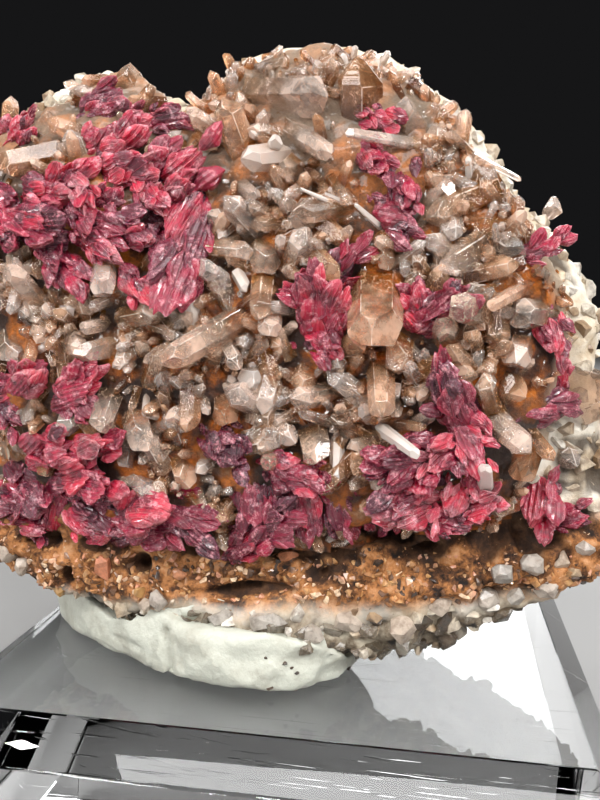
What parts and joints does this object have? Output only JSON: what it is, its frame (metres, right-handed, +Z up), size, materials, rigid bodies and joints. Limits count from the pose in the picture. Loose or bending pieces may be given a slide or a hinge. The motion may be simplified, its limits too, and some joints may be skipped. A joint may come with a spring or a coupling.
{
  "type": "rhodochrosite specimen",
  "caption": "Raspberry rhodochrosite blades and clear quartz crystals on host rock, held by putty on a bevelled clear acrylic block.",
  "frame": {"origin": "centre of the acrylic block's underside, where it rests on a table", "axes": "+Z up, -Y the way the crystal face looks, +X to the right as seen from the front"},
  "size_m": [0.0817, 0.0762, 0.0871],
  "materials": {
    "acrylic": "clear gloss",
    "putty": "matt",
    "rock": "rough",
    "quartz": "clear gloss",
    "rhodochrosite": "glossy"
  },
  "bodies": {
    "root": {"acrylic_base": "acrylic", "matrix_rock": "rock", "mounting_putty": "putty", "quartz_crust": "quartz", "rhodochrosite_burgundy": "rhodochrosite", "rhodochrosite_centre_fan": "rhodochrosite", "rhodochrosite_centre_wings": "rhodochrosite", "rhodochrosite_dark_blade": "rhodochrosite", "rhodochrosite_foot_far_right": "rhodochrosite", "rhodochrosite_foot_left": "rhodochrosite", "rhodochrosite_foot_left_end": "rhodochrosite", "rhodochrosite_foot_middle": "rhodochrosite", "rhodochrosite_foot_right": "rhodochrosite", "rhodochrosite_left_above_foot": "rhodochrosite", "rhodochrosite_left_fall": "rhodochrosite", "rhodochrosite_left_lobe": "rhodochrosite", "rhodochrosite_left_rim": "rhodochrosite", "rhodochrosite_left_tip": "rhodochrosite", "rhodochrosite_mid_left": "rhodochrosite", "rhodochrosite_mid_left_wing": "rhodochrosite", "rhodochrosite_right_blade": "rhodochrosite", "rhodochrosite_right_edge": "rhodochrosite", "rhodochrosite_right_mass": "rhodochrosite", "rhodochrosite_right_ovoid": "rhodochrosite", "rhodochrosite_right_purple": "rhodochrosite", "rhodochrosite_right_wing": "rhodochrosite", "rhodochrosite_top_middle": "rhodochrosite", "rhodochrosite_top_ovoid": "rhodochrosite", "rhodochrosite_upper_left": "rhodochrosite", "rhodochrosite_upper_middle": "rhodochrosite"}
  },
  "joints": []
}
